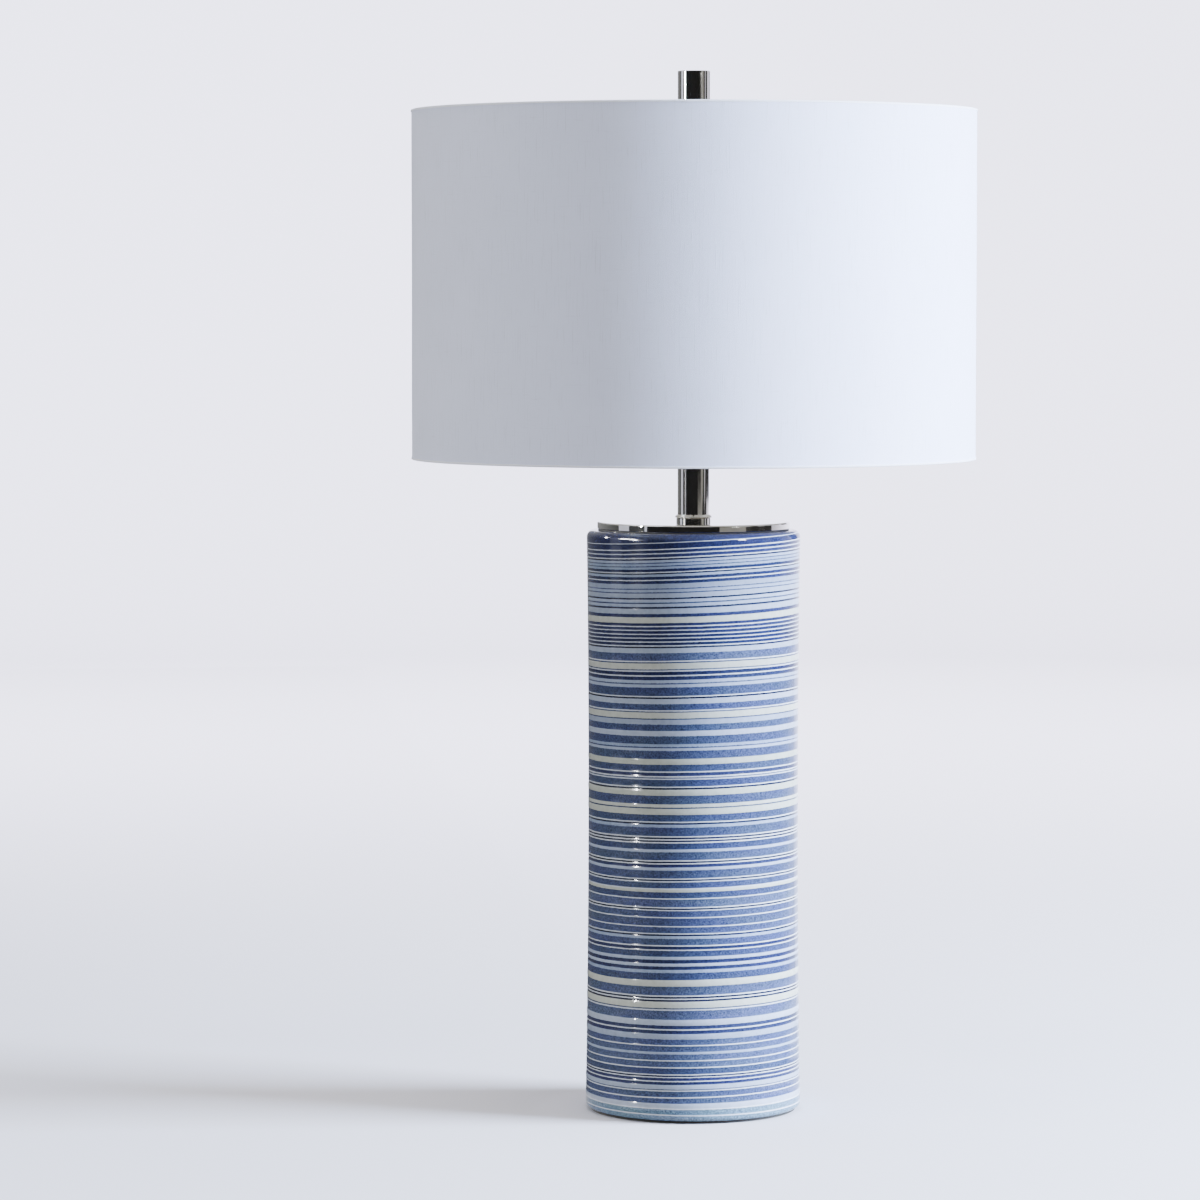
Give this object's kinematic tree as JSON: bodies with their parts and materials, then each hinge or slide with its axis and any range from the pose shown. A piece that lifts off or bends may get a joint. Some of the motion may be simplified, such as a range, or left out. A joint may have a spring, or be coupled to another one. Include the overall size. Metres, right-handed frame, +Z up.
{
  "type": "table lamp",
  "caption": "Table lamp with a tall glazed ceramic column ringed in blue and white, a polished metal cap and neck, and a white linen drum shade on a harp.",
  "frame": {"origin": "centre of the underside of the felt pad, on the lamp's axis, at the bottom of the object", "axes": "+Z up along the lamp's axis; the harp lies in the XZ plane, the switch knob faces -Y and the cord inlet faces +Y"},
  "size_m": [0.4063, 0.4064, 0.7494],
  "materials": {
    "felt": "matte felt",
    "iron": "rough cast",
    "steel": "zinc plated",
    "glaze": "glossy, with hand-painted rings of blue and white",
    "black_plastic": "moulded",
    "gasket": "matte",
    "nickel": "polished nickel",
    "satin_nickel": "satin nickel plated",
    "brass": "satin",
    "phenolic": "moulded",
    "card": "pressed fibre",
    "bulb_metal": "rolled",
    "bulb_black": "glossy",
    "bulb_white": "smooth",
    "diffuser": "frosted",
    "circuit": "solder mask",
    "wire": "white coated wire",
    "liner": "satin styrene sheet",
    "linen": "fine plain weave",
    "hem_tape": "folded woven tape",
    "washer_plastic": "smooth"
  },
  "bodies": {
    "lamp_base": {"felt_pad": "felt", "base_weight": "iron", "base_washer": "steel", "base_lock_washer": "steel", "base_nut": "steel", "ceramic_column": "glaze", "cord_bushing": "black_plastic", "threaded_rod": "steel", "cap_gasket": "gasket", "column_cap": "nickel", "neck_ring": "nickel", "neck_tube": "nickel", "neck_top_ring": "nickel", "harp_saddle": "satin_nickel", "saddle_nut": "satin_nickel", "socket_cap": "satin_nickel", "socket_set_screw": "steel", "socket_core": "phenolic", "terminal_screws": "brass", "screw_shell": "brass", "centre_contact": "brass", "socket_sleeve": "card", "socket_shell": "satin_nickel", "switch_bushing": "black_plastic"},
    "switch": {"switch_stem": "brass", "switch_knob": "black_plastic"},
    "bulb_foot": {"bulb_contact": "bulb_metal", "bulb_insulator": "bulb_black"},
    "bulb": {"bulb_cap": "bulb_metal", "bulb_housing": "bulb_white", "led_board": "circuit", "bulb_diffuser": "diffuser"},
    "harp": {"harp_wire": "satin_nickel", "harp_stud": "satin_nickel"},
    "ferrule_left": {"ferrule_left": "satin_nickel"},
    "ferrule_right": {"ferrule_right": "satin_nickel"},
    "shade_seat": {"finial_washer": "washer_plastic"},
    "shade": {"spider_frame": "wire", "bottom_ring": "wire", "shade_liner": "liner", "shade_cover": "linen", "top_hem": "hem_tape", "bottom_hem": "hem_tape"},
    "finial_thread": {"finial_insert": "brass"},
    "finial": {"finial": "nickel"}
  },
  "joints": [
    {"name": "switch_turn", "type": "hinge", "parent": "lamp_base", "child": "switch", "pos_m": [0, -0.0252, 0.5144], "axis": [0, -1, 0], "continuous": true},
    {"name": "bulb_rise", "type": "slide", "parent": "lamp_base", "child": "bulb_foot", "axis": [0, 0, 1], "range_m": [0, 0.01815]},
    {"name": "bulb_turn", "type": "hinge", "parent": "bulb_foot", "child": "bulb", "pos_m": [0, 0, 0.54], "axis": [0, 0, 1], "range_deg": [0, 1800]},
    {"name": "harp_lift", "type": "slide", "parent": "lamp_base", "child": "harp", "axis": [0, 0, 1], "range_m": [0, 0.03]},
    {"name": "ferrule_left_slide", "type": "slide", "parent": "harp", "child": "ferrule_left", "axis": [0, 0, 1], "range_m": [0, 0.012]},
    {"name": "ferrule_right_slide", "type": "slide", "parent": "harp", "child": "ferrule_right", "axis": [0, 0, 1], "range_m": [0, 0.012]},
    {"name": "shade_lift", "type": "slide", "parent": "harp", "child": "shade_seat", "axis": [0, 0, 1], "range_m": [0, 0.24]},
    {"name": "shade_turn", "type": "hinge", "parent": "shade_seat", "child": "shade", "pos_m": [0, 0, 0.7], "axis": [0, 0, 1], "continuous": true},
    {"name": "finial_rise", "type": "slide", "parent": "shade_seat", "child": "finial_thread", "axis": [0, 0, 1], "range_m": [0, 0.00941]},
    {"name": "finial_turn", "type": "hinge", "parent": "finial_thread", "child": "finial", "pos_m": [0, 0, 0.72], "axis": [0, 0, 1], "range_deg": [0, 3600]}
  ],
  "couplings": [
    {"joint": "bulb_turn", "follows": "bulb_rise", "rad_per_m": 1731.4},
    {"joint": "finial_turn", "follows": "finial_rise", "rad_per_m": 6679}
  ]
}
